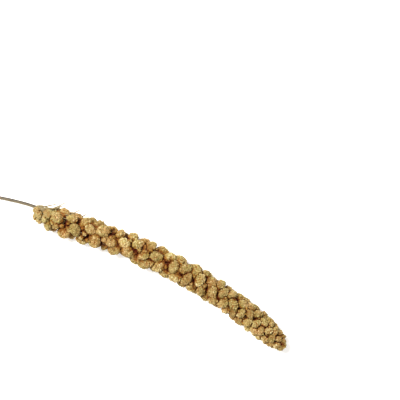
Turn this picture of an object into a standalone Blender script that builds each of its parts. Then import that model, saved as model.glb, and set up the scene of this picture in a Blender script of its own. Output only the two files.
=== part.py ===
"""Dried spray millet seed head, lying on its side on a flat surface.

Metres, +Z up. The head runs along X, with the cut stem at -X and the tip at +X,
and it bows sideways, towards +Y. The surface is z = 0, and the origin is on it,
under the middle of the whole part.

Two bodies: the stem, a bare tapered rod, and the seed head, whose clusters stand
in a golden-angle spiral round a slim core. Near the stem the clusters are loose,
stand on stalks of their own and hang out to one side. Higher up they pack together,
and get smaller towards the blunt tip. The undersides of the lowest clusters are flat
where the head lies on them.
"""

import math
import random
from collections import namedtuple

import bmesh
import bpy
from mathutils import Matrix, Vector

MM = 0.001

# Head: lengths run along the axis, from the base of the head towards the tip
HEAD_LENGTH = 240 * MM
HEAD_BASE_X = -100.38 * MM
BOW = 13 * MM  # how far the middle of the axis stands out sideways
BOW_LATE = 0.35  # share more that it stands out towards the tip, and less towards the base
BOW_SHIFT = -6.62 * MM
RADIUS_AT_BASE = 12.9 * MM  # over the clusters, without the tapers at both ends
RADIUS_AT_TIP = 11.2 * MM
BASE_TAPER = 31 * MM
BASE_NARROWING = 0.42  # share of the radius that the loose base starts at
TIP_TAPER = 30 * MM
TIP_BLUNTNESS = 2.4  # 2 is an ellipse, and more is blunter
FLAT_DEPTH = 0.7 * MM  # what the lowest clusters lose where the head lies
LOPSIDED = 0.5  # share further that the lowest clusters reach on the side away from the bow
LOPSIDED_RUN = 100 * MM

# Clusters packed on the head, each a rounded body with few faces
PACKED_FROM = 22 * MM
PACKED_START_TURN = math.radians(330)  # round the axis, from the side that it bows to
CLUSTER_WIDTH_AT_BASE = 11 * MM
CLUSTER_WIDTH_AT_TIP = 5.6 * MM
END_CLUSTER_WIDTH = 6.5 * MM
CLUSTER_WIDTH_FALL = 3.2  # power that keeps the clusters large until past the middle
CLUSTER_PACKING = 0.94  # area that a cluster takes, over that of a hexagon round it
CLUSTER_SWELL = 1.09  # how much wider than its share of the spiral a cluster grows
CLUSTER_OVAL = 1.15  # how much wider it is one way across, and narrower the other way
CLUSTER_SIDES = 6
CLUSTER_RINGS = 4
PLAINER_BELOW = 7.6 * MM  # a narrower cluster has one ring of faces less
GOLDEN_ANGLE = math.pi * (3 - math.sqrt(5))
GOLDEN_SHARE = GOLDEN_ANGLE / math.tau
HEXAGON_AREA = math.sqrt(3) / 2  # of a hexagon 1 across its flats

# How much the clusters differ, as drawn: at the base in full, and less towards the tip
UNRULY_AT_TIP = 0.35
WIDTH_DRAW = 0.16
TALLNESS_DRAW = (-0.05, 0.5)
REACH_DRAW = (-0.07, 0.05)
ANGLE_DRAW = 0.18
LEAN = 0.35  # towards the tip, in radians
LEAN_DRAW = (-0.2, 0.45)

# Loose clusters on stalks, at the base
LOOSE_COUNT = 15
LOOSE_FROM = 4 * MM
LOOSE_TO = 25 * MM
LOOSE_STRAY = 1 * MM
LOOSE_SPREADS = (0.9, 2.2)  # how far round from the side away from the bow, in radians
LOOSE_WIDTHS = (6.6 * MM, 8.8 * MM)
LOOSE_WIDTH_DRAW = (0.82, 1.12)
LOOSE_TALLNESS_DRAW = (1.25, 1.8)
LOOSE_REACHES = (6.2 * MM, 12.5 * MM)
LOOSE_REACH_DRAW = (0.8, 1.12)
STALK_RADII = (0.8 * MM, 0.64 * MM)
STALK_SIDES = 5
STALK_RUN = 6 * MM  # how far back along the axis a stalk starts

# Core, with the socket that the stem stands in
CORE_LEAST_RADIUS = 2.3 * MM
CORE_DEPTH = 0.78  # how far under the clusters' tops the core is, in cluster widths
CORE_STEP = 12 * MM
CORE_SIDES = 9
SOCKET_DEPTH = 9 * MM
GAP = 0.3 * MM

# Stem
STEM_LENGTH = 38 * MM
STEM_RADIUS = 1.3 * MM
STEM_END_RADIUS = 1.35 * MM
STEM_DROOP = 3 * MM
STEM_SWEEP = 6 * MM  # how far its cut end turns away from the bow
STEM_STEP = 5 * MM
STEM_SIDES = 12

SEED = 3

Cluster = namedtuple("Cluster", "centre toward wide tall roll")


def remove_scene_objects():
    for item in list(bpy.data.objects):
        bpy.data.objects.remove(item, do_unlink=True)


def blend(a, b, share):
    return a + (b - a) * share


def smooth_step(share):
    share = min(max(share, 0), 1)
    return share * share * (3 - 2 * share)


def full_radius(along):
    """The radius over the clusters, without the tapers at both ends."""
    return blend(RADIUS_AT_BASE, RADIUS_AT_TIP, along / HEAD_LENGTH)


def head_radius(along):
    """The radius over the clusters."""
    base = blend(BASE_NARROWING, 1, smooth_step(along / BASE_TAPER))
    into_tip = max(along - (HEAD_LENGTH - TIP_TAPER), 0) / TIP_TAPER
    tip = math.sqrt(max(1 - into_tip**TIP_BLUNTNESS, 0))
    return full_radius(along) * base * tip


def cluster_width(along):
    share = (along / HEAD_LENGTH) ** CLUSTER_WIDTH_FALL
    return blend(CLUSTER_WIDTH_AT_BASE, CLUSTER_WIDTH_AT_TIP, share)


def axis_point(along):
    """A point on the head's axis, which runs on into the stem where along is below 0."""
    middle = 2 * along / HEAD_LENGTH - 1
    side = BOW_SHIFT + BOW * (1 - middle**2) * (1 + BOW_LATE * middle)
    height = full_radius(along) - FLAT_DEPTH
    if along < 0:
        side -= STEM_SWEEP * (-along / STEM_LENGTH) ** 1.5
        height -= STEM_DROOP * (along / STEM_LENGTH) ** 2
    return Vector((HEAD_BASE_X + along, side, height))


def axis_turn(along):
    """The turn that takes +Z to the axis's direction, towards the tip."""
    step = 1 * MM
    return (axis_point(along + step) - axis_point(along - step)).to_track_quat("Z", "Y")


def outward(along, angle):
    return axis_turn(along) @ Vector((math.cos(angle), math.sin(angle), 0))


def tipward(along):
    return axis_turn(along) @ Vector((0, 0, 1))


def reach_share(along, angle):
    """How far the clusters reach at this angle, where 0 is the side that the head bows to."""
    fall = LOPSIDED * (1 - smooth_step(along / LOPSIDED_RUN))
    return 1 - fall * math.cos(angle)


def packed_cluster(along, angle, draw):
    """The cluster that stands at this place, with its own drawn size and lean."""
    unruly = blend(1, UNRULY_AT_TIP, along / HEAD_LENGTH)
    reach = head_radius(along)
    wide = cluster_width(along) * CLUSTER_SWELL
    wide *= 1 + unruly * draw.uniform(-WIDTH_DRAW, WIDTH_DRAW)
    tall = wide * (1 + unruly * draw.uniform(*TALLNESS_DRAW))
    lean = LEAN + unruly * draw.uniform(*LEAN_DRAW)
    round_the_tip = max(1 - reach / (0.9 * full_radius(along)), 0)
    lean = blend(lean, math.pi / 2, round_the_tip)
    top = reach * (1 + unruly * draw.uniform(*REACH_DRAW)) * reach_share(along, angle)
    out = outward(along, angle + unruly * draw.uniform(-ANGLE_DRAW, ANGLE_DRAW))
    toward = out * math.cos(lean) + tipward(along) * math.sin(lean)
    centre = axis_point(along) + out * top - toward * tall / 2
    return Cluster(centre, toward, wide, tall, draw.uniform(0, math.pi))


def packed_clusters(draw):
    """The spiral of packed clusters. The steps along it give each one its own area."""
    found = []
    along, angle = PACKED_FROM, PACKED_START_TURN
    while along < HEAD_LENGTH - 0.3 * CLUSTER_WIDTH_AT_TIP:
        found.append(packed_cluster(along, angle, draw))
        width = cluster_width(along)
        girth = 2 * math.pi * max(head_radius(along) - width / 2, 0.3 * width)
        along += CLUSTER_PACKING * HEXAGON_AREA * width**2 / girth
        angle += GOLDEN_ANGLE
    end = HEAD_LENGTH - 0.6 * END_CLUSTER_WIDTH
    found.append(
        Cluster(axis_point(end), tipward(end), END_CLUSTER_WIDTH, END_CLUSTER_WIDTH, 0)
    )
    return found


def loose_clusters(draw):
    """Pairs of a loose cluster and the point on the axis where its stalk starts."""
    found = []
    for index in range(LOOSE_COUNT):
        share = index / (LOOSE_COUNT - 1)
        stray = draw.uniform(-LOOSE_STRAY, LOOSE_STRAY)
        along = blend(LOOSE_FROM, LOOSE_TO, share) + stray
        around = 2 * (index * GOLDEN_SHARE % 1) - 1
        angle = math.pi + around * blend(*LOOSE_SPREADS, share)
        angle += draw.uniform(-ANGLE_DRAW, ANGLE_DRAW)
        wide = blend(*LOOSE_WIDTHS, share) * draw.uniform(*LOOSE_WIDTH_DRAW)
        tall = wide * draw.uniform(*LOOSE_TALLNESS_DRAW)
        reach = blend(*LOOSE_REACHES, share) * draw.uniform(*LOOSE_REACH_DRAW)
        reach *= reach_share(along, angle)
        root = axis_point(max(along - STALK_RUN, CORE_LEAST_RADIUS))
        top = axis_point(along) + outward(along, angle) * reach
        toward = (top - root).normalized()
        roll = draw.uniform(0, math.pi)
        found.append((Cluster(top - toward * tall / 2, toward, wide, tall, roll), root))
    return found


def new_object(name, shape, collection=None):
    """An object of this bmesh, in the scene or in a collection of helpers."""
    mesh = bpy.data.meshes.new(name)
    shape.to_mesh(mesh)
    shape.free()
    item = bpy.data.objects.new(name, mesh)
    (collection or bpy.context.scene.collection).objects.link(item)
    return item


def new_collection(name):
    collection = bpy.data.collections.new(name)
    bpy.context.scene.collection.children.link(collection)
    return collection


def swept_rod(points, radii, sides):
    """A rod through the points, with a radius at each, closed at both ends."""
    shape = bmesh.new()
    rings = []
    last = len(points) - 1
    for index, (point, radius) in enumerate(zip(points, radii)):
        ahead = points[min(index + 1, last)] - points[max(index - 1, 0)]
        ring = bmesh.ops.create_circle(
            shape,
            segments=sides,
            radius=radius,
            cap_ends=index in (0, last),
            matrix=Matrix.LocRotScale(point, ahead.to_track_quat("Z", "Y"), None),
        )
        rings.append(list({edge for vert in ring["verts"] for edge in vert.link_edges}))
    for low, high in zip(rings, rings[1:]):
        bmesh.ops.bridge_loops(shape, edges=low + high)
    bmesh.ops.recalc_face_normals(shape, faces=shape.faces)
    return shape


def cluster_body(cluster):
    """A rounded body, wide across and tall along its own direction."""
    turn = cluster.toward.to_track_quat("Z", "Y").to_matrix().to_4x4()
    turn = turn @ Matrix.Rotation(cluster.roll, 4, "Z")
    semi = cluster.wide / 2
    size = Matrix.Diagonal((semi * CLUSTER_OVAL, semi / CLUSTER_OVAL, cluster.tall / 2, 1))
    shape = bmesh.new()
    bmesh.ops.create_uvsphere(
        shape,
        u_segments=CLUSTER_SIDES,
        v_segments=CLUSTER_RINGS if cluster.wide > PLAINER_BELOW else CLUSTER_RINGS - 1,
        radius=1,
        matrix=Matrix.Translation(cluster.centre) @ turn @ size,
    )
    return shape


def apply_boolean(item, operation, collection):
    """Joins item with all of a collection, or cuts it by them. Their objects then go."""
    step = item.modifiers.new(operation.title(), "BOOLEAN")
    step.operation = operation
    step.operand_type = "COLLECTION"
    step.collection = collection
    step.solver = "MANIFOLD"
    bpy.context.view_layer.objects.active = item
    bpy.ops.object.modifier_apply(modifier=step.name)
    for other in list(collection.objects):
        bpy.data.objects.remove(other, do_unlink=True)
    bpy.data.collections.remove(collection)


def keep_largest_shell(item):
    """Drops the loose scraps of a join, and fills the hollows that it sealed."""
    shape = bmesh.new()
    shape.from_mesh(item.data)
    shells = []
    unseen = set(shape.verts)
    while unseen:
        shell, front = set(), [unseen.pop()]
        while front:
            vert = front.pop()
            shell.add(vert)
            near = {edge.other_vert(vert) for edge in vert.link_edges} & unseen
            unseen -= near
            front.extend(near)
        shells.append(shell)
    shells.sort(key=len)
    for shell in shells[:-1]:
        bmesh.ops.delete(shape, geom=list(shell), context="VERTS")
    shape.to_mesh(item.data)
    shape.free()


def make_core():
    steps = round(HEAD_LENGTH / CORE_STEP)
    places = [CORE_STEP * index for index in range(steps)]
    places.append(HEAD_LENGTH - 0.6 * CLUSTER_WIDTH_AT_TIP)
    radii = [
        max(head_radius(along) - CORE_DEPTH * cluster_width(along), CORE_LEAST_RADIUS)
        for along in places
    ]
    points = [axis_point(along) for along in places]
    return new_object("seed_head", swept_rod(points, radii, CORE_SIDES))


def add_clusters(head):
    draw = random.Random(SEED)
    bodies = new_collection("clusters")
    for cluster, root in loose_clusters(draw):
        new_object("loose_cluster", cluster_body(cluster), bodies)
        stalk = swept_rod([root, cluster.centre], STALK_RADII, STALK_SIDES)
        new_object("stalk", stalk, bodies)
    for cluster in packed_clusters(draw):
        new_object("cluster", cluster_body(cluster), bodies)
    apply_boolean(head, "UNION", bodies)


def cut_flats_and_socket(head):
    """Flattens what would go under the surface, and bores the stem's socket."""
    cutters = new_collection("cutters")
    reach = 2 * HEAD_LENGTH
    below = bmesh.new()
    place = Matrix.Translation((0, 0, -reach / 2))
    bmesh.ops.create_cube(below, size=reach, matrix=place)
    new_object("surface", below, cutters)
    ends = [axis_point(-SOCKET_DEPTH), axis_point(0), axis_point(SOCKET_DEPTH)]
    radii = [STEM_RADIUS + GAP] * len(ends)
    new_object("socket", swept_rod(ends, radii, STEM_SIDES), cutters)
    apply_boolean(head, "DIFFERENCE", cutters)


def make_seed_head():
    head = make_core()
    add_clusters(head)
    cut_flats_and_socket(head)
    keep_largest_shell(head)
    give_material(head, "husked_seed", (0.36, 0.2, 0.07), 0.75)


def make_stem():
    first, last = -STEM_LENGTH, SOCKET_DEPTH - GAP
    steps = round((last - first) / STEM_STEP)
    places = [blend(first, last, index / steps) for index in range(steps + 1)]
    radii = [
        blend(STEM_RADIUS, STEM_END_RADIUS, max(-along, 0) / STEM_LENGTH) for along in places
    ]
    points = [axis_point(along) for along in places]
    stem = new_object("stem", swept_rod(points, radii, STEM_SIDES))
    stem.data.shade_smooth()
    stem.data.set_sharp_from_angle(angle=math.radians(40))
    give_material(stem, "dry_straw", (0.4, 0.31, 0.17), 0.6)


def give_material(item, name, colour, roughness):
    material = bpy.data.materials.new(name)
    material.use_nodes = True
    shader = material.node_tree.nodes["Principled BSDF"]
    shader.inputs["Base Color"].default_value = (*colour, 1)
    shader.inputs["Roughness"].default_value = roughness
    shader.inputs["Metallic"].default_value = 0
    item.data.materials.clear()
    item.data.materials.append(material)


remove_scene_objects()
make_seed_head()
make_stem()
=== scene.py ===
import math
import random
from collections import namedtuple

import bmesh
import bpy
from mathutils import Matrix, Vector, noise


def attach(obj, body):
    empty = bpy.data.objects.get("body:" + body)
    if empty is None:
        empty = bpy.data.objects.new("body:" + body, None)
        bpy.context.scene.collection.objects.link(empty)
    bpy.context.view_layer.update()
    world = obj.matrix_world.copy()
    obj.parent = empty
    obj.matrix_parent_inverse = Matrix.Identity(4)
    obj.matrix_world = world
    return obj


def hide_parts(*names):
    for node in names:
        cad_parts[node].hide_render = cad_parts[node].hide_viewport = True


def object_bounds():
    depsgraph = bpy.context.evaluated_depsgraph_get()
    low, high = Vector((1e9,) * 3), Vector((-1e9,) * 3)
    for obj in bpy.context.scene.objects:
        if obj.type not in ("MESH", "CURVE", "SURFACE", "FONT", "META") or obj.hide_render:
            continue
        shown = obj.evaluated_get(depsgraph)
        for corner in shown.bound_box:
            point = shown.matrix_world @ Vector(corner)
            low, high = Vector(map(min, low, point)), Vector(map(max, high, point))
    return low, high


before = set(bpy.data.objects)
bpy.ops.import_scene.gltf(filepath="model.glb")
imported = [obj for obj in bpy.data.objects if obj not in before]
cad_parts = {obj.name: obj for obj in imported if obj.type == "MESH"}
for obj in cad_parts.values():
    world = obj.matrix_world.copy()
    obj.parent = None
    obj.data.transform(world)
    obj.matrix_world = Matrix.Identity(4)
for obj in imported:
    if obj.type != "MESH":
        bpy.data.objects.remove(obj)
cad_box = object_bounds()

# A dried spray millet head lying on its side. The solids give its form, and the pieces here
# keep it: husked seeds on every cluster, the chaff under them, and the straw they grow on.

MM = 0.001

# The head's form, as the solids have it: lengths run along the axis from the head's base
HEAD_LENGTH = 240 * MM
HEAD_BASE_X = -100.38 * MM
BOW = 13 * MM  # how far the middle of the axis stands out sideways
BOW_LATE = 0.35  # share more that it stands out towards the tip, and less towards the base
BOW_SHIFT = -6.62 * MM
RADIUS_AT_BASE = 12.9 * MM  # over the clusters, without the tapers at both ends
RADIUS_AT_TIP = 11.2 * MM
BASE_TAPER = 31 * MM
BASE_NARROWING = 0.42  # share of the radius that the loose base starts at
TIP_TAPER = 30 * MM
TIP_BLUNTNESS = 2.4  # 2 is an ellipse, and more is blunter
FLAT_DEPTH = 0.7 * MM  # what the lowest clusters lose where the head lies
LOPSIDED = 0.5  # share further that the lowest clusters reach on the side away from the bow
LOPSIDED_RUN = 100 * MM

# Clusters packed on the head
PACKED_FROM = 22 * MM
PACKED_START_TURN = math.radians(330)  # round the axis, from the side that it bows to
CLUSTER_WIDTH_AT_BASE = 11 * MM
CLUSTER_WIDTH_AT_TIP = 5.6 * MM
END_CLUSTER_WIDTH = 6.5 * MM
END_INSET = 0.6  # of the last cluster's width, from its middle to the head's end
CLUSTER_WIDTH_FALL = 3.2  # power that keeps the clusters large until past the middle
CLUSTER_PACKING = 0.94  # area that a cluster takes, over that of a hexagon round it
LEAST_ROOM = 0.3  # of a cluster's width: room that one has at least, also at the tip
CLUSTER_SWELL = 1.09  # how much wider than its share of the spiral a cluster grows
CLUSTER_OVAL = 1.15  # how much wider it is one way across, and narrower the other way
GOLDEN_ANGLE = math.pi * (3 - math.sqrt(5))
GOLDEN_SHARE = GOLDEN_ANGLE / math.tau
HEXAGON_AREA = math.sqrt(3) / 2  # of a hexagon 1 across its flats

# How much the clusters differ, as drawn: at the base in full, and less towards the tip
UNRULY_AT_TIP = 0.35
WIDTH_DRAW = 0.16
TALLNESS_DRAW = (-0.05, 0.5)
REACH_DRAW = (-0.07, 0.05)
ANGLE_DRAW = 0.18
LEAN = 0.35  # towards the tip, in radians
LEAN_DRAW = (-0.2, 0.45)
TURNS_AHEAD_BELOW = 0.9  # of the full radius, where clusters start to turn round the tip

# Loose clusters on stalks, at the base
LOOSE_COUNT = 15
LOOSE_FROM = 4 * MM
LOOSE_TO = 25 * MM
LOOSE_STRAY = 1 * MM
LOOSE_SPREADS = (0.9, 2.2)  # how far round from the side away from the bow, in radians
LOOSE_WIDTHS = (6.6 * MM, 8.8 * MM)
LOOSE_WIDTH_DRAW = (0.82, 1.12)
LOOSE_TALLNESS_DRAW = (1.25, 1.8)
LOOSE_REACHES = (6.2 * MM, 12.5 * MM)
LOOSE_REACH_DRAW = (0.8, 1.12)
STALK_RUN = 6 * MM  # how far back along the axis a stalk starts
STALK_RADII = (0.6 * MM, 0.4 * MM)
STALK_BEND = 0.12  # of its length
STALK_STEPS = 6
STALK_SIDES = 8

# Stem
STEM_LENGTH = 38 * MM
STEM_RADIUS = 1.3 * MM
STEM_END_RADIUS = 1.35 * MM
STEM_DROOP = 3 * MM
STEM_SWEEP = 6 * MM  # how far its cut end turns away from the bow
STEM_SWEEP_POWER = 1.5
STEM_INTO_HEAD = 3 * MM
STEM_STEPS = 40
STEM_SIDES = 48
STEM_RIBS = 12
STEM_RIB_HEIGHT = 0.03  # of its radius
STEM_UNEVEN = 0.04  # of its radius
STEM_UNEVEN_RUN = 6 * MM
CUT_DEPTH = 0.5 * MM  # of the hollow in the stem's cut end
CUT_WALL = 0.4 * MM
STRIP_ANGLE = 0.8  # of the stem's painted shadow line, from the bow side towards the top
STRIP_SPREAD = 1.3
STRIP_EDGE = 1.6  # 1 fades over the whole strip, and more is sharper
STRIP_DARKNESS = 0.9
STRIP_PATCHINESS = 0.3
STRIP_PATCH_RUN = 5 * MM
GREYNESS = 0.3  # of the rest of the stem

SEED = 3

# Grains: husked seeds of foxtail millet, small eggs with a blunt point
GRAIN_LENGTH = 2.2 * MM
GRAIN_WIDTH = 1.75 * MM
GRAIN_SIDES = 7
GRAIN_RINGS = 5
GRAIN_POINT = 0.14  # how far the outer end is drawn out, in half lengths
GRAIN_SIZE_DRAW = (0.88, 1.14)
GRAIN_SPACING = 0.8  # of a grain's width, centre to centre
GRAIN_TURN_DRAW = 0.1  # round the cluster, in radians
GRAIN_LEAN = 0.3  # towards the cluster's own top
GRAIN_UNEVEN = 0.16  # how far its direction strays
GRAIN_COVER = 0.96  # down a cluster's sides, as a share of the way to its root
GRAIN_SINK_DRAW = (-0.16 * MM, 0.2 * MM)
BURIED_BELOW = 0.93  # of the way out of a neighbouring cluster
FULLNESS = (0.98, 1.14)  # the finished clusters' width over the solids', at base and tip

# Knobs: each cluster is a bunch of smaller ones, with creases where they meet
KNOB_WIDTH = 4.8 * MM
CREASE_DEPTH = 0.18  # of the cluster's size
CREASE_SPREAD = 0.4
SWELL_DEPTH = 0.16
SWELL_WIDTH = 7 * MM
SWELL_SINKS = 0.2  # how much more of it sinks than swells
SWELL_SHIFT = Vector((5, 5, 5))  # keeps the swells apart from the knobs

# Small clusters in the gaps between the large ones
FILLER_TRIES = 2600
FILLER_WIDTHS = (0.42, 0.62)  # of the large clusters' width there
FILLER_TALLNESS_DRAW = (1.1, 1.6)
FILLER_REACH_DRAW = (0.5, 0.88)  # of the head's radius
FILLER_SPACING = 0.8  # of its own width, centre to centre

# Under the seeds: the branchlets packed in each cluster, and the core
CORE_LEAST_RADIUS = 2.3 * MM
CORE_DEPTH = 0.78  # how far under the clusters' tops the core is, in cluster widths
CORE_SHOWS_FROM = 14 * MM
CORE_INSET = 0.5 * MM
CORE_STEPS = 40
CORE_SIDES = 16
HEART_INSET = 1.8 * MM
HEART_SIDES = 10
HEART_RINGS = 7
HEART_LIFT = 0.3 * MM  # off the surface that the head lies on

# Bristles between the seeds
BRISTLES_PER_AREA = 0.16 / MM**2
BRISTLE_LENGTHS = (1.6 * MM, 2.9 * MM)
BRISTLE_RADIUS = 0.09 * MM
BRISTLE_POINT = 0.15  # of its radius
BRISTLE_SIDES = 3
BRISTLE_ROOT_DEPTH = 1.6 * MM
BRISTLE_STRAY = 0.35
BRISTLE_LIFT = 0.2 * MM

# Rachis and the bare branchlets left on it at the base
RACHIS_FROM = 1 * MM
RACHIS_LENGTH = 34 * MM
RACHIS_RADIUS = 1.9 * MM
RACHIS_THICK_AT = 6 * MM
RACHIS_STEPS = 60
RACHIS_SIDES = 24
RACHIS_RIBS = 6
RACHIS_RIB_HEIGHT = 0.06  # of its radius
KNOT_SPACING = 3.2 * MM
KNOT_HEIGHT = 0.12  # of the rachis's radius
KNOT_POWER = 8  # more is shorter
WISP_COUNT = 40
WISPS_ALONG = (0.5 * MM, 30 * MM)
WISP_LENGTHS = (7 * MM, 17 * MM)
WISP_RADII = (0.6 * MM, 0.36 * MM)
WISP_STEPS = 6
WISP_SIDES = 5
WISP_ROUND_SPREAD = 0.9  # round the rachis from the bow side, in radians
WISP_ASIDE_SPREAD = 0.15
WISP_LEAN_DRAW = (0.12, 0.65)  # away from the rachis
WISP_CURL_SPREAD = 0.25

# Depth: painted shade, how much light a place is painted with, from 0 in the gaps to 1 on the
# outside
CLOSED_FROM = 24 * MM  # light gets in between the loose clusters below this
TIP_ROUND = 9 * MM  # places nearer the end are measured from here
LEAST_OUTLINE = 0.5  # of the full radius
DARK_WITHIN = 0.4  # of the way out from the axis
DARK_BETWEEN = 0.6  # of the way out of a neighbouring cluster
DARK_FADE = 0.5  # from these to full light
CREASE_SHADE = 0.18  # painted shade: what the seeds in a crease lose
HEART_CREASE_SHADE = 0.5
GRAIN_ROOT_SHADE = 0.56  # painted shade: the light left at a seed's root, between its neighbours
BRISTLE_ROOT_SHADE = 0.8
ROOT_SHADE_FROM = -0.9  # along a template, whose outer end is at about 1
ROOT_SHADE_FADE = 1.5

# Tint: how pale a seed is, from 0 to 1
MIDDLE_TINT = 0.5
CLUSTER_TINT_SPREAD = 0.1
GRAIN_TINT_SPREAD = 0.17
BRISTLE_TINT = 0.75
BRISTLE_TINT_SPREAD = 0.12

# Patterns. Colour changes over the head, the wrinkles of the husks and the fibres of the
# straw are two or three times as coarse as on a real head, so that they show
UNRIPE_TO = (6 * MM, 26 * MM)  # paler and greener from the base to here
UNRIPE_SHARE = 0.8
PATCH_SIZE = 9 * MM
MOTTLE_SIZE = 0.7 * MM
WRINKLE_SIZE = 0.22 * MM
FLECK_SIZE = 1.1 * MM
FIBRE_SIZE = 0.5 * MM
FIBRE_SQUEEZE = 0.05  # along the stem, so that a fibre is 20 times as long as it is wide
BLOTCH_SIZE = 4 * MM

SHARPEST = math.radians(60)  # a corner past this is shaded as an edge

# Camera: the photograph's frame, and where the head's two ends are in it
FRAME_PX = 400
BASE_PX = Vector((34.5, 206.5))
TIP_PX = Vector((286, 349.5))
CAMERA_HEIGHT = 1.3

# Studio, in metres and watts. A lamp's place is to the right, up the frame and above the head
FLOOR_REACH = 3
TABLE_GLOW = 0.42  # lit from below, which keeps the shadows faint
WALLS_GLOW = 0.27
KEY_PLACE = (-0.45, 0.35, 1.1)
KEY_SIZE = 0.4
KEY_POWER = 28.8
FILL_PLACE = (0.5, -0.8, 0.8)
FILL_SIZE = 0.9
FILL_POWER = 6

Cluster = namedtuple("Cluster", "centre toward wide tall roll")


def blend(a, b, share):
    return a + (b - a) * share


def steps_between(first, last, count):
    """Evenly spaced places from first to last, with both of them, count steps in all."""
    return [blend(first, last, index / count) for index in range(count + 1)]


def smooth_step(share):
    share = min(max(share, 0), 1)
    return share * share * (3 - 2 * share)


def full_radius(along):
    """The radius over the clusters, without the tapers at both ends."""
    return blend(RADIUS_AT_BASE, RADIUS_AT_TIP, along / HEAD_LENGTH)


def head_radius(along):
    """The radius over the clusters."""
    base = blend(BASE_NARROWING, 1, smooth_step(along / BASE_TAPER))
    into_tip = max(along - (HEAD_LENGTH - TIP_TAPER), 0) / TIP_TAPER
    tip = math.sqrt(max(1 - into_tip**TIP_BLUNTNESS, 0))
    return full_radius(along) * base * tip


def cluster_width(along):
    share = (along / HEAD_LENGTH) ** CLUSTER_WIDTH_FALL
    return blend(CLUSTER_WIDTH_AT_BASE, CLUSTER_WIDTH_AT_TIP, share)


def axis_point(along):
    """A point on the head's axis, which runs on into the stem where along is below 0."""
    middle = 2 * along / HEAD_LENGTH - 1
    side = BOW_SHIFT + BOW * (1 - middle**2) * (1 + BOW_LATE * middle)
    height = full_radius(along) - FLAT_DEPTH
    if along < 0:
        side -= STEM_SWEEP * (-along / STEM_LENGTH) ** STEM_SWEEP_POWER
        height -= STEM_DROOP * (along / STEM_LENGTH) ** 2
    return Vector((HEAD_BASE_X + along, side, height))


def axis_turn(along):
    """The turn that takes +Z to the axis's direction, towards the tip."""
    step = 1 * MM
    return (axis_point(along + step) - axis_point(along - step)).to_track_quat("Z", "Y")


def outward(along, angle):
    return axis_turn(along) @ Vector((math.cos(angle), math.sin(angle), 0))


def tipward(along):
    return axis_turn(along) @ Vector((0, 0, 1))


def reach_share(along, angle):
    """How far the clusters reach at this angle, where 0 is the side that the head bows to."""
    fall = LOPSIDED * (1 - smooth_step(along / LOPSIDED_RUN))
    return 1 - fall * math.cos(angle)


def tipped(along, lean):
    """A cluster's lean, which turns to straight ahead round the head's tip."""
    round_the_tip = max(1 - head_radius(along) / (TURNS_AHEAD_BELOW * full_radius(along)), 0)
    return blend(lean, math.pi / 2, round_the_tip)


def packed_cluster(along, angle, draw):
    """The cluster that stands at this place, with its own drawn size and lean."""
    unruly = blend(1, UNRULY_AT_TIP, along / HEAD_LENGTH)
    reach = head_radius(along)
    wide = cluster_width(along) * CLUSTER_SWELL
    wide *= 1 + unruly * draw.uniform(-WIDTH_DRAW, WIDTH_DRAW)
    tall = wide * (1 + unruly * draw.uniform(*TALLNESS_DRAW))
    lean = tipped(along, LEAN + unruly * draw.uniform(*LEAN_DRAW))
    top = reach * (1 + unruly * draw.uniform(*REACH_DRAW)) * reach_share(along, angle)
    out = outward(along, angle + unruly * draw.uniform(-ANGLE_DRAW, ANGLE_DRAW))
    toward = out * math.cos(lean) + tipward(along) * math.sin(lean)
    centre = axis_point(along) + out * top - toward * tall / 2
    return Cluster(centre, toward, wide, tall, draw.uniform(0, math.pi))


def packed_clusters(draw):
    """The spiral of packed clusters. The steps along it give each one its own area."""
    found = []
    along, angle = PACKED_FROM, PACKED_START_TURN
    while along < HEAD_LENGTH - LEAST_ROOM * CLUSTER_WIDTH_AT_TIP:
        found.append(packed_cluster(along, angle, draw))
        width = cluster_width(along)
        girth = 2 * math.pi * max(head_radius(along) - width / 2, LEAST_ROOM * width)
        along += CLUSTER_PACKING * HEXAGON_AREA * width**2 / girth
        angle += GOLDEN_ANGLE
    end = HEAD_LENGTH - END_INSET * END_CLUSTER_WIDTH
    found.append(
        Cluster(axis_point(end), tipward(end), END_CLUSTER_WIDTH, END_CLUSTER_WIDTH, 0)
    )
    return found


def loose_clusters(draw):
    """Pairs of a loose cluster and the point on the axis where its stalk starts."""
    found = []
    for index in range(LOOSE_COUNT):
        share = index / (LOOSE_COUNT - 1)
        stray = draw.uniform(-LOOSE_STRAY, LOOSE_STRAY)
        along = blend(LOOSE_FROM, LOOSE_TO, share) + stray
        around = 2 * (index * GOLDEN_SHARE % 1) - 1
        angle = math.pi + around * blend(*LOOSE_SPREADS, share)
        angle += draw.uniform(-ANGLE_DRAW, ANGLE_DRAW)
        wide = blend(*LOOSE_WIDTHS, share) * draw.uniform(*LOOSE_WIDTH_DRAW)
        tall = wide * draw.uniform(*LOOSE_TALLNESS_DRAW)
        reach = blend(*LOOSE_REACHES, share) * draw.uniform(*LOOSE_REACH_DRAW)
        reach *= reach_share(along, angle)
        root = axis_point(max(along - STALK_RUN, CORE_LEAST_RADIUS))
        top = axis_point(along) + outward(along, angle) * reach
        toward = (top - root).normalized()
        roll = draw.uniform(0, math.pi)
        found.append((Cluster(top - toward * tall / 2, toward, wide, tall, roll), root))
    return found


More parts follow.
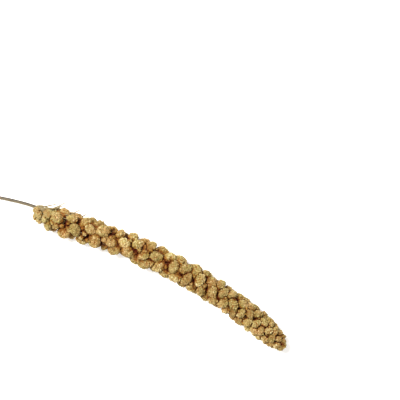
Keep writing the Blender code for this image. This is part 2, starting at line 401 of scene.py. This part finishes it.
def filler_clusters(frames):
    """Small clusters that stand lower, where there is a gap between the large ones."""
    draw = random.Random(SEED + 3)
    backs = [place.inverted() for place in frames]
    found = []
    for _ in range(FILLER_TRIES):
        along = draw.uniform(PACKED_FROM, HEAD_LENGTH)
        angle = draw.uniform(0, math.tau)
        wide = cluster_width(along) * draw.uniform(*FILLER_WIDTHS)
        tall = wide * draw.uniform(*FILLER_TALLNESS_DRAW)
        reach = head_radius(along) * reach_share(along, angle) * draw.uniform(*FILLER_REACH_DRAW)
        out = outward(along, angle)
        lean = tipped(along, LEAN)
        toward = out * math.cos(lean) + tipward(along) * math.sin(lean)
        top = axis_point(along) + out * reach
        centre = top - toward * tall / 2
        roll = draw.uniform(0, math.pi)
        hidden = min((back @ top).length for back in backs) < 1
        spacing = FILLER_SPACING * wide
        crowded = any((other.centre - centre).length < spacing for other in found)
        if not hidden and not crowded and centre.z > tall / 2:
            found.append(Cluster(centre, toward, wide, tall, roll))
    return found


def along_of(point):
    return point.x - HEAD_BASE_X


def core_radius(along):
    return max(head_radius(along) - CORE_DEPTH * cluster_width(along), CORE_LEAST_RADIUS)


def cluster_frame(cluster):
    """The matrix that takes a unit ball to the cluster's own rounded form."""
    turn = cluster.toward.to_track_quat("Z", "Y").to_matrix().to_4x4()
    turn = turn @ Matrix.Rotation(cluster.roll, 4, "Z")
    share = min(max(along_of(cluster.centre) / HEAD_LENGTH, 0), 1)
    across = blend(*FULLNESS, share) * cluster.wide / 2
    size = Matrix.Diagonal((across * CLUSTER_OVAL, across / CLUSTER_OVAL, cluster.tall / 2, 1))
    return Matrix.Translation(cluster.centre) @ turn @ size


def linear(colour):
    """An sRGB hex colour as linear red, green and blue."""
    parts = [int(colour[i : i + 2], 16) / 255 for i in (1, 3, 5)]
    return [p / 12.92 if p <= 0.04045 else ((p + 0.055) / 1.055) ** 2.4 for p in parts]


def rgba(colour):
    return (*linear(colour), 1)


def add_node(tree, kind, settings=(), links=()):
    """Adds a node, sets its properties and input values, and links its inputs."""
    node = tree.nodes.new("ShaderNode" + kind)
    for name, value in dict(settings).items():
        if hasattr(node, name):
            setattr(node, name, value)
        else:
            node.inputs[name].default_value = value
    for name, output in dict(links).items():
        tree.links.new(output, node.inputs[name])
    return node


def set_stops(ramp, stops):
    """Gives a colour ramp its stops, as pairs of a place and a hex colour."""
    elements = ramp.color_ramp.elements
    while len(elements) < len(stops):
        elements.new(0.5)
    for element, (place, colour) in zip(elements, stops):
        element.position = place
        element.color = rgba(colour)


def new_material(name):
    material = bpy.data.materials.new(name)
    material.use_nodes = True
    return material, material.node_tree, material.node_tree.nodes["Principled BSDF"]


def per_metre(size):
    """The scale that gives a noise features of this size."""
    return 1 / size


def dry_millet_husk():
    """Ripe foxtail millet husk, dried in the sun: thin, hard and wrinkled, with a low
    gloss. Each husk has its own tan, and painted shade darkens it at its root and in the gaps."""
    material, tree, shader = new_material("dry_millet_husk")
    place = add_node(tree, "TexCoord").outputs["Object"]
    tint = add_node(tree, "Attribute", {"attribute_name": "tint"}).outputs["Fac"]
    depth = add_node(tree, "Attribute", {"attribute_name": "depth"}).outputs["Fac"]
    tan = add_node(tree, "ValToRGB", links={"Fac": tint})
    set_stops(
        tan,
        ((0, "#7a6b40"), (0.35, "#948456"), (0.7, "#af9f71"), (1, "#cdc5a1")),
    )
    along = add_node(tree, "SeparateXYZ", links={"Vector": place}).outputs["X"]
    unripe = add_node(
        tree,
        "MapRange",
        {
            "From Min": HEAD_BASE_X + UNRIPE_TO[0],
            "From Max": HEAD_BASE_X + UNRIPE_TO[1],
            "To Min": UNRIPE_SHARE,
            "To Max": 0.0,
        },
        {"Value": along},
    )
    paled = add_node(
        tree,
        "Mix",
        {"data_type": "RGBA"},
        {"Factor": unripe.outputs["Result"], "A": tan.outputs["Color"]},
    )
    paled.inputs["B"].default_value = rgba("#a39c74")
    patches = add_node(
        tree,
        "TexNoise",
        {"Scale": per_metre(PATCH_SIZE), "Detail": 1.0},
        {"Vector": place},
    )
    cast = add_node(tree, "ValToRGB", links={"Fac": patches.outputs["Fac"]})
    set_stops(cast, ((0.36, "#f8f6df"), (0.5, "#fdf8ec"), (0.64, "#ffeee0")))
    patched = add_node(
        tree,
        "Mix",
        {"data_type": "RGBA", "blend_type": "MULTIPLY", "Factor": 1.0},
        {"A": paled.outputs[2], "B": cast.outputs["Color"]},
    )
    mottle = add_node(
        tree,
        "TexNoise",
        {"Scale": per_metre(MOTTLE_SIZE), "Detail": 3.0, "Roughness": 0.6},
        {"Vector": place},
    )
    mottled = add_node(
        tree,
        "Mix",
        {"data_type": "RGBA", "blend_type": "OVERLAY", "Factor": 0.35},
        {"A": patched.outputs[2], "B": mottle.outputs["Color"]},
    )
    # Painted shade: multiplies the husks' colour from white on the outside down to dark
    # red-brown deep in the gaps
    shade = add_node(tree, "ValToRGB", links={"Fac": depth})
    set_stops(
        shade,
        ((0, "#6e1c04"), (0.35, "#8c4814"), (0.7, "#d8b276"), (1, "#ffffff")),
    )
    shaded = add_node(
        tree,
        "Mix",
        {"data_type": "RGBA", "blend_type": "MULTIPLY", "Factor": 1.0},
        {"A": mottled.outputs[2], "B": shade.outputs["Color"]},
    )
    tree.links.new(shaded.outputs[2], shader.inputs["Base Color"])
    wrinkle = add_node(
        tree,
        "TexNoise",
        {"Scale": per_metre(WRINKLE_SIZE), "Detail": 2.0},
        {"Vector": place},
    )
    bump = add_node(
        tree,
        "Bump",
        {"Strength": 0.5, "Distance": 0.06 * MM},
        {"Height": wrinkle.outputs["Fac"]},
    )
    tree.links.new(bump.outputs["Normal"], shader.inputs["Normal"])
    shader.inputs["Roughness"].default_value = 0.6
    shader.inputs["Specular IOR Level"].default_value = 0.15
    return material


def chaff_with_painted_shade():
    """Chaff and branchlets under the seeds: dry and matt, brown where light reaches them,
    with painted shade that turns them dark red-brown in the gaps."""
    material, tree, shader = new_material("chaff_with_painted_shade")
    place = add_node(tree, "TexCoord").outputs["Object"]
    depth = add_node(tree, "Attribute", {"attribute_name": "depth"}).outputs["Fac"]
    flecks = add_node(
        tree,
        "TexNoise",
        {"Scale": per_metre(FLECK_SIZE), "Detail": 4.0},
        {"Vector": place},
    )
    # Painted shade: from the chaff's own brown on the outside to dark red-brown deep in the gaps
    brown = add_node(tree, "ValToRGB", links={"Fac": depth})
    set_stops(brown, ((0, "#4a1406"), (0.4, "#61290d"), (1, "#7f5327")))
    papery = add_node(tree, "ValToRGB", links={"Fac": flecks.outputs["Fac"]})
    set_stops(papery, ((0.5, "#000000"), (0.66, "#9c9c9c")))
    flecked = add_node(
        tree,
        "Mix",
        {"data_type": "RGBA"},
        {"Factor": papery.outputs["Color"], "A": brown.outputs["Color"]},
    )
    flecked.inputs["B"].default_value = rgba("#94713f")
    tree.links.new(flecked.outputs[2], shader.inputs["Base Color"])
    bump = add_node(
        tree,
        "Bump",
        {"Strength": 0.6, "Distance": 0.2 * MM},
        {"Height": flecks.outputs["Fac"]},
    )
    tree.links.new(bump.outputs["Normal"], shader.inputs["Normal"])
    shader.inputs["Roughness"].default_value = 0.9
    shader.inputs["Specular IOR Level"].default_value = 0.1
    return material


def dry_straw():
    """Dry grass straw: fine fibres along the stem, a waxy low gloss, and a pale
    grey-green tan with brown flecks."""
    material, tree, shader = new_material("dry_straw")
    place = add_node(tree, "TexCoord").outputs["Object"]
    in_rod = add_node(tree, "Attribute", {"attribute_name": "in_rod"}).outputs["Vector"]
    squeezed = add_node(
        tree, "Mapping", {"Scale": (1.0, 1.0, FIBRE_SQUEEZE)}, {"Vector": in_rod}
    ).outputs["Vector"]
    fibres = add_node(
        tree,
        "TexNoise",
        {"Scale": per_metre(FIBRE_SIZE), "Detail": 3.0},
        {"Vector": squeezed},
    )
    blotches = add_node(
        tree,
        "TexNoise",
        {"Scale": per_metre(BLOTCH_SIZE), "Detail": 3.0},
        {"Vector": place},
    )
    mixed = add_node(
        tree,
        "Mix",
        {"data_type": "FLOAT", "Factor": 0.4},
        {"A": fibres.outputs["Fac"], "B": blotches.outputs["Fac"]},
    )
    straw = add_node(tree, "ValToRGB", links={"Fac": mixed.outputs["Result"]})
    set_stops(
        straw,
        ((0.3, "#574a33"), (0.45, "#776948"), (0.6, "#8a7c5a"), (0.75, "#a59a78")),
    )
    # The stem's grey, and painted shade: the shadow line along its upper side and the floor of
    # the hollow in its cut end
    straw_grey_and_painted_shade = add_node(tree, "Attribute", {"attribute_name": "straw_grey_and_painted_shade"})
    straw_with_painted_shade = add_node(
        tree,
        "Mix",
        {"data_type": "RGBA"},
        {"Factor": straw_grey_and_painted_shade.outputs["Fac"], "A": straw.outputs["Color"]},
    )
    straw_with_painted_shade.inputs["B"].default_value = rgba("#2b2014")
    tree.links.new(straw_with_painted_shade.outputs[2], shader.inputs["Base Color"])
    bump = add_node(
        tree,
        "Bump",
        {"Strength": 0.5, "Distance": 0.05 * MM},
        {"Height": fibres.outputs["Fac"]},
    )
    tree.links.new(bump.outputs["Normal"], shader.inputs["Normal"])
    shader.inputs["Roughness"].default_value = 0.5
    return material


def finished_piece(name, shape, material, node):
    """The object of a finished bmesh, riding on the part and standing for its solid."""
    mesh = bpy.data.meshes.new(name)
    shape.to_mesh(mesh)
    shape.free()
    mesh.shade_smooth()
    mesh.set_sharp_from_angle(angle=SHARPEST)
    mesh.materials.append(material)
    piece = bpy.data.objects.new(name, mesh)
    bpy.context.scene.collection.objects.link(piece)
    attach(piece, "root")
    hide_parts(node)
    return piece


def new_shape():
    """An empty bmesh that keeps each vertex's tint and depth (how much painted shade it has),
    and its place in a rod.
    """
    shape = bmesh.new()
    shape.verts.layers.float_vector.new("in_rod")
    shape.verts.layers.float.new("tint")
    shape.verts.layers.float.new("depth")
    return shape


def grain_template():
    """One husked seed, 1 across and 1 long each way from its middle, pointing up."""
    grain = new_shape()
    bmesh.ops.create_uvsphere(
        grain, u_segments=GRAIN_SIDES, v_segments=GRAIN_RINGS, radius=1
    )
    top = max(grain.verts, key=lambda vert: vert.co.z)
    top.co.z += GRAIN_POINT
    return grain


def add_copy(shape, template, matrix, tint, depth, root_shade):
    """Adds a moved copy of a small template, with painted shade that darkens it towards its
    root, which is below.
    """
    copy = template.copy()
    tints = copy.verts.layers.float["tint"]
    depths = copy.verts.layers.float["depth"]
    for vert in copy.verts:
        up = smooth_step((vert.co.z - ROOT_SHADE_FROM) / ROOT_SHADE_FADE)
        vert[tints] = tint
        vert[depths] = depth * blend(root_shade, 1, up)
    copy.transform(matrix)
    for vert in copy.verts:
        vert.co.z = max(vert.co.z, 0)
    mesh = bpy.data.meshes.new("copy")
    copy.to_mesh(mesh)
    copy.free()
    shape.from_mesh(mesh)
    bpy.data.meshes.remove(mesh)


def openness(point, near):
    """How open a place in the head is, from 0 in its depths to 1 on its outside. It sets the
    painted shade of the seeds and chaff there.
    """
    along = min(max(along_of(point), 0), HEAD_LENGTH - TIP_ROUND)
    off = axis_turn(along).inverted() @ (point - axis_point(along))
    outline = max(head_radius(along), LEAST_OUTLINE * full_radius(along))
    share = off.length / (outline * reach_share(along, math.atan2(off.y, off.x)))
    from_axis = smooth_step((share - DARK_WITHIN) / DARK_FADE)
    from_axis = blend(1, from_axis, smooth_step(along / CLOSED_FROM))
    clear = min(((back @ point).length for back in near), default=math.inf)
    from_neighbours = smooth_step((clear - DARK_BETWEEN) / DARK_FADE)
    return min(from_axis, from_neighbours)


def crease(point):
    """1 in the creases between a cluster's knobs, and 0 on the knobs."""
    swell = abs(noise.noise(point / KNOB_WIDTH))
    return max(1 - swell / CREASE_SPREAD, 0) ** 2


def lumpy(point):
    """What a cluster's size is multiplied by at a place on it, for knobs and creases."""
    swell = noise.noise(point / SWELL_WIDTH + SWELL_SHIFT)
    return 1 - CREASE_DEPTH * crease(point) - SWELL_DEPTH * (swell + SWELL_SINKS)


def neighbours(number, clusters, frames):
    """The matrices that make a unit ball of each cluster near this one."""
    cluster = clusters[number]
    return [
        frames[other].inverted()
        for other, its in enumerate(clusters)
        if other != number
        and (its.centre - cluster.centre).length < (its.tall + cluster.tall) / 2
    ]


def add_cluster_grains(shape, cluster, place, near, grain, draw):
    """The husked seeds on one cluster, but not those buried in its neighbours."""
    turned = place.to_quaternion()
    semi_wide, semi_tall = cluster.wide / 2, cluster.tall / 2
    semi = Vector((semi_wide * CLUSTER_OVAL, semi_wide / CLUSTER_OVAL, semi_tall))
    mean = (2 * semi_wide + semi_tall) / 3 - GRAIN_LENGTH / 3
    spacing = GRAIN_SPACING * GRAIN_WIDTH
    count = round(4 * math.pi * mean**2 / (HEXAGON_AREA * spacing**2))
    own_tint = draw.gauss(MIDDLE_TINT, CLUSTER_TINT_SPREAD)
    for index in range(count):
        down = 1 - 2 * (index + 0.5) / count
        if down < -GRAIN_COVER:
            break
        turn = index * GOLDEN_ANGLE + draw.uniform(-GRAIN_TURN_DRAW, GRAIN_TURN_DRAW)
        level = math.sqrt(1 - down**2)
        unit = Vector((level * math.cos(turn), level * math.sin(turn), down))
        normal = Vector([unit[i] / semi[i] for i in range(3)])
        out = normal.normalized() + Vector((0, 0, GRAIN_LEAN))
        out += GRAIN_UNEVEN * Vector([draw.gauss(0, 1) for _ in range(3)])
        out = turned @ out.normalized()
        size = draw.uniform(*GRAIN_SIZE_DRAW)
        half_wide, half = size * GRAIN_WIDTH / 2, size * GRAIN_LENGTH / 2
        folded = crease(place @ unit)
        surface = place @ (unit * lumpy(place @ unit))
        centre = surface - out * (half * (1 + GRAIN_POINT) + draw.uniform(*GRAIN_SINK_DRAW))
        tint = own_tint + draw.gauss(0, GRAIN_TINT_SPREAD)
        buried = BURIED_BELOW * lumpy(surface)
        if near and min((back @ surface).length for back in near) < buried:
            continue
        along = min(max(along_of(centre), 0), HEAD_LENGTH - TIP_ROUND)
        if (centre - axis_point(along)).length < core_radius(along) - half:
            continue
        low = math.sqrt((half * out.z) ** 2 + half_wide**2 * (1 - out.z**2))
        centre.z = max(centre.z, low)
        turn = out.to_track_quat("Z", "Y").to_matrix().to_4x4()
        matrix = Matrix.Translation(centre) @ turn
        matrix @= Matrix.Diagonal((half_wide, half_wide, half, 1))
        # Painted shade: darker deep in the gaps and in the creases between knobs
        depth = openness(surface, near) * (1 - CREASE_SHADE * folded)
        add_copy(shape, grain, matrix, tint, depth, GRAIN_ROOT_SHADE)


def make_grains(clusters, frames, material):
    """All the husked seeds, in pieces that run from the base to the tip."""
    draw = random.Random(SEED + 1)
    grain = grain_template()
    names = ["grains_base", "grains_lower", "grains_middle", "grains_upper", "grains_tip"]
    pieces = {name: new_shape() for name in names}
    for number, cluster in enumerate(clusters):
        share = max(along_of(cluster.centre) / HEAD_LENGTH, 0)
        piece = pieces[names[min(int(share * len(names)), len(names) - 1)]]
        near = neighbours(number, clusters, frames)
        add_cluster_grains(piece, cluster, frames[number], near, grain, draw)
    grain.free()
    for name, shape in pieces.items():
        finished_piece(name, shape, material, "seed_head")


def swept_rod(shape, points, radii, sides, ribs=0, rib_height=0.0):
    """A rod through the points, closed at both ends, with ribs along it. Each vertex
    keeps its place in the rod as it would be if the rod stood straight up."""
    in_rod = shape.verts.layers.float_vector["in_rod"]
    rings = []
    run = 0
    last = len(points) - 1
    for index, (point, radius) in enumerate(zip(points, radii)):
        run += (point - points[max(index - 1, 0)]).length
        ahead = points[min(index + 1, last)] - points[max(index - 1, 0)]
        ring = bmesh.ops.create_circle(
            shape,
            segments=sides,
            radius=radius,
            cap_ends=index in (0, last),
            matrix=Matrix.LocRotScale(point, ahead.to_track_quat("Z", "Y"), None),
        )
        for number, vert in enumerate(ring["verts"]):
            angle = math.tau * number / sides
            vert[in_rod] = Vector((radius * math.cos(angle), radius * math.sin(angle), run))
            if ribs:
                swell = rib_height * math.cos(ribs * angle)
                vert.co = point + (vert.co - point) * (1 + swell)
        rings.append(list({edge for vert in ring["verts"] for edge in vert.link_edges}))
    for low, high in zip(rings, rings[1:]):
        bmesh.ops.bridge_loops(shape, edges=low + high)


def make_hearts(clusters, frames, material):
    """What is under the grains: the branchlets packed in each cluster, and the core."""
    shape = new_shape()
    first, last = CORE_SHOWS_FROM, HEAD_LENGTH - END_INSET * CLUSTER_WIDTH_AT_TIP
    places = steps_between(first, last, CORE_STEPS)
    points = [axis_point(along) for along in places]
    swept_rod(shape, points, [core_radius(along) - CORE_INSET for along in places], CORE_SIDES)
    bmesh.ops.recalc_face_normals(shape, faces=shape.faces)
    ball = new_shape()
    bmesh.ops.create_uvsphere(
        ball, u_segments=HEART_SIDES, v_segments=HEART_RINGS, radius=1
    )
    for number, cluster in enumerate(clusters):
        inner = cluster._replace(
            wide=cluster.wide - HEART_INSET, tall=cluster.tall - HEART_INSET
        )
        near = neighbours(number, clusters, frames)
        outer = frames[number]
        copy = ball.copy()
        tints = copy.verts.layers.float["tint"]
        depths = copy.verts.layers.float["depth"]
        for vert in copy.verts:
            surface = outer @ vert.co
            vert[tints] = MIDDLE_TINT
            # Painted shade: darker deep in the gaps and in the creases between knobs
            vert[depths] = openness(surface, near) * (1 - HEART_CREASE_SHADE * crease(surface))
            vert.co *= lumpy(surface)
        copy.transform(cluster_frame(inner))
        for vert in copy.verts:
            vert.co.z = max(vert.co.z, HEART_LIFT)
        mesh = bpy.data.meshes.new("heart")
        copy.to_mesh(mesh)
        copy.free()
        shape.from_mesh(mesh)
        bpy.data.meshes.remove(mesh)
    ball.free()
    finished_piece("branchlets_in_the_head", shape, material, "seed_head")


def bristle_template():
    """One bristle: a slim three-sided spike, 1 long, standing on the origin."""
    bristle = new_shape()
    bmesh.ops.create_cone(
        bristle,
        cap_ends=True,
        segments=BRISTLE_SIDES,
        radius1=1,
        radius2=BRISTLE_POINT,
        depth=1,
        matrix=Matrix.Translation((0, 0, 1 / 2)),
    )
    return bristle


def make_bristles(clusters, frames, material):
    """Fine bristles that stand between the grains, a little proud of them."""
    draw = random.Random(SEED + 2)
    bristle = bristle_template()
    shape = new_shape()
    for number, cluster in enumerate(clusters):
        place = frames[number]
        near = neighbours(number, clusters, frames)
        for _ in range(round(BRISTLES_PER_AREA * cluster.wide * cluster.tall)):
            unit = Vector([draw.gauss(0, 1) for _ in range(3)]).normalized()
            unit.z = abs(unit.z)
            length = draw.uniform(*BRISTLE_LENGTHS)
            root = place @ (unit * (1 - BRISTLE_ROOT_DEPTH / (cluster.wide / 2)))
            out = (place @ unit - cluster.centre).normalized()
            out += BRISTLE_STRAY * Vector([draw.gauss(0, 1) for _ in range(3)])
            out.normalize()
            end = root + out * length
            if near and min((back @ end).length for back in near) < 1:
                continue
            if not inside(end, cad_box) or end.z < BRISTLE_LIFT:
                continue
            turn = out.to_track_quat("Z", "Y").to_matrix().to_4x4()
            size = Matrix.Diagonal((BRISTLE_RADIUS, BRISTLE_RADIUS, length, 1))
            matrix = Matrix.Translation(root) @ turn @ size
            tint = draw.gauss(BRISTLE_TINT, BRISTLE_TINT_SPREAD)
            # Painted shade: darker towards each bristle's root
            add_copy(shape, bristle, matrix, tint, 1, BRISTLE_ROOT_SHADE)
    bristle.free()
    finished_piece("bristles", shape, material, "seed_head")


def inside(point, box):
    low, high = box
    return all(low[i] < point[i] < high[i] for i in range(3))


def straw_grey_and_painted_shade_at(point):
    """How dark the stem is at a place: its grey all over, and a painted shadow line along one
    side.
    """
    along = along_of(point)
    off = axis_turn(along).inverted() @ (point - axis_point(along))
    share = 1 - abs(math.atan2(off.y, off.x) - STRIP_ANGLE) / STRIP_SPREAD
    patchy = 1 + STRIP_PATCHINESS * noise.noise(Vector((along / STRIP_PATCH_RUN, 0, 0)))
    return blend(GREYNESS, STRIP_DARKNESS, patchy * smooth_step(STRIP_EDGE * share))


def make_stem(material):
    """The ribbed straw stem, cut square at its end, where it is hollow."""
    shape = new_shape()
    places = steps_between(-STEM_LENGTH, STEM_INTO_HEAD, STEM_STEPS)
    radii = [
        blend(STEM_RADIUS, STEM_END_RADIUS, max(-along, 0) / STEM_LENGTH)
        * (1 + STEM_UNEVEN * noise.noise(Vector((along / STEM_UNEVEN_RUN, 0, 0))))
        for along in places
    ]
    points = [axis_point(along) for along in places]
    swept_rod(shape, points, radii, STEM_SIDES, STEM_RIBS, STEM_RIB_HEIGHT)
    # The stem's grey, and its painted shadow line
    layer = shape.verts.layers.float.new("straw_grey_and_painted_shade")
    for vert in shape.verts:
        vert[layer] = straw_grey_and_painted_shade_at(vert.co)
    bmesh.ops.recalc_face_normals(shape, faces=shape.faces)
    cut = min(shape.faces, key=lambda face: face.calc_center_median().x)
    bmesh.ops.inset_region(shape, faces=[cut], thickness=CUT_WALL, depth=0)
    bmesh.ops.translate(shape, verts=cut.verts, vec=-cut.normal * CUT_DEPTH)
    # Painted shade: the floor of the hollow gets the darkest straw colour
    for vert in cut.verts:
        vert[layer] = 1
    finished_piece("straw_stem", shape, material, "stem")


def make_rachis(material):
    """The stem's run through the loose base of the head, with a knot at each branchlet."""
    shape = new_shape()
    places = steps_between(RACHIS_FROM, RACHIS_LENGTH, RACHIS_STEPS)
    radii = [
        blend(STEM_RADIUS, RACHIS_RADIUS, smooth_step(along / RACHIS_THICK_AT))
        * (1 + KNOT_HEIGHT * math.cos(math.tau * along / KNOT_SPACING) ** KNOT_POWER)
        for along in places
    ]
    points = [axis_point(along) for along in places]
    swept_rod(shape, points, radii, RACHIS_SIDES, RACHIS_RIBS, RACHIS_RIB_HEIGHT)
    bmesh.ops.recalc_face_normals(shape, faces=shape.faces)
    finished_piece("rachis", shape, material, "seed_head")


def make_wisps(material):
    """Bare dried branchlets and thin bracts along the rachis, on the side it bows to."""
    draw = random.Random(SEED + 4)
    shape = new_shape()
    radii = steps_between(*WISP_RADII, WISP_STEPS)
    for _ in range(WISP_COUNT):
        along = draw.uniform(*WISPS_ALONG)
        out = outward(along, draw.gauss(0, WISP_ROUND_SPREAD))
        aside = out.cross(tipward(along)) * draw.gauss(0, WISP_ASIDE_SPREAD)
        length = draw.uniform(*WISP_LENGTHS)
        lean = draw.uniform(*WISP_LEAN_DRAW)
        curl = draw.gauss(0, WISP_CURL_SPREAD)
        points = []
        for share in steps_between(0, 1, WISP_STEPS):
            turn = lean + curl * share
            run = tipward(along) * math.cos(turn) + (out + aside) * math.sin(turn)
            points.append(axis_point(along) + out * RACHIS_RADIUS / 2 + run * length * share)
        swept_rod(shape, points, radii, WISP_SIDES)
    bmesh.ops.recalc_face_normals(shape, faces=shape.faces)
    finished_piece("bare_branchlets", shape, material, "seed_head")


def make_stalks(loose, material):
    """The short stalks that the loose clusters at the base stand on."""
    shape = new_shape()
    radii = steps_between(*STALK_RADII, STALK_STEPS)
    for cluster, root in loose:
        end = cluster.centre
        bend = (end - root).length * STALK_BEND
        points = [
            root.lerp(end, share) + Vector((0, 0, bend * math.sin(math.pi * share)))
            for share in steps_between(0, 1, STALK_STEPS)
        ]
        swept_rod(shape, points, radii, STALK_SIDES)
    bmesh.ops.recalc_face_normals(shape, faces=shape.faces)
    finished_piece("stalks", shape, material, "seed_head")


def make_floor():
    shape = bmesh.new()
    bmesh.ops.create_grid(shape, x_segments=1, y_segments=1, size=FLOOR_REACH)
    mesh = bpy.data.meshes.new("floor")
    shape.to_mesh(mesh)
    shape.free()
    material, tree, shader = new_material("lit_white_table")
    shader.inputs["Base Color"].default_value = rgba("#f3f2ef")
    shader.inputs["Roughness"].default_value = 0.9
    shader.inputs["Emission Color"].default_value = rgba("#ffffff")
    shader.inputs["Emission Strength"].default_value = TABLE_GLOW
    mesh.materials.append(material)
    floor = bpy.data.objects.new("floor", mesh)
    bpy.context.scene.collection.objects.link(floor)


def make_camera():
    """Looks straight down, turned and placed so that the head lies as in the photograph.
    Gives the frame's right and up, and what it looks at."""
    base, tip = axis_point(0), axis_point(HEAD_LENGTH)
    scale = (tip - base).xy.length / (TIP_PX - BASE_PX).length
    on_screen = math.atan2(BASE_PX.y - TIP_PX.y, TIP_PX.x - BASE_PX.x)
    roll = math.atan2(tip.y - base.y, tip.x - base.x) - on_screen
    right = Vector((math.cos(roll), math.sin(roll), 0))
    up = Vector((-math.sin(roll), math.cos(roll), 0))
    off = (BASE_PX + TIP_PX) / 2 - Vector((FRAME_PX / 2, FRAME_PX / 2))
    aim = (base + tip) / 2 - right * off.x * scale + up * off.y * scale
    data = bpy.data.cameras.new("camera")
    data.lens = data.sensor_width * CAMERA_HEIGHT / (FRAME_PX * scale)
    camera = bpy.data.objects.new("camera", data)
    camera.matrix_world = Matrix.Translation(
        aim + Vector((0, 0, CAMERA_HEIGHT))
    ) @ Matrix.Rotation(roll, 4, "Z")
    bpy.context.scene.collection.objects.link(camera)
    bpy.context.scene.camera = camera
    return right, up, aim


def add_softbox(name, view, place, size, power, colour):
    """A soft square lamp that faces the head."""
    right, up, aim = view
    spot = aim + right * place[0] + up * place[1] + Vector((0, 0, place[2]))
    data = bpy.data.lights.new(name, "AREA")
    data.size = size
    data.energy = power
    data.color = linear(colour)
    lamp = bpy.data.objects.new(name, data)
    lamp.location = spot
    lamp.rotation_euler = (aim - spot).to_track_quat("-Z", "Y").to_euler()
    bpy.context.scene.collection.objects.link(lamp)


def light_studio(view):
    """A soft key from the upper left of the frame, a weak fill, and white walls all round."""
    add_softbox("key_softbox", view, KEY_PLACE, KEY_SIZE, KEY_POWER, "#fffaf2")
    add_softbox("fill_softbox", view, FILL_PLACE, FILL_SIZE, FILL_POWER, "#fffdf8")
    world = bpy.data.worlds.new("white_walls")
    world.use_nodes = True
    world.node_tree.nodes["Background"].inputs["Color"].default_value = rgba("#ffffff")
    world.node_tree.nodes["Background"].inputs["Strength"].default_value = WALLS_GLOW
    bpy.context.scene.world = world
    bpy.context.scene.view_settings.view_transform = "Standard"


light_studio(make_camera())
make_floor()

placing = random.Random(SEED)
loose = loose_clusters(placing)
clusters = [cluster for cluster, _ in loose] + packed_clusters(placing)
clusters += filler_clusters([cluster_frame(cluster) for cluster in clusters])
frames = [cluster_frame(cluster) for cluster in clusters]
husk = dry_millet_husk()
make_grains(clusters, frames, husk)
make_hearts(clusters, frames, chaff_with_painted_shade())
make_bristles(clusters, frames, husk)
straw = dry_straw()
make_stem(straw)
make_rachis(straw)
make_wisps(straw)
make_stalks(loose, straw)
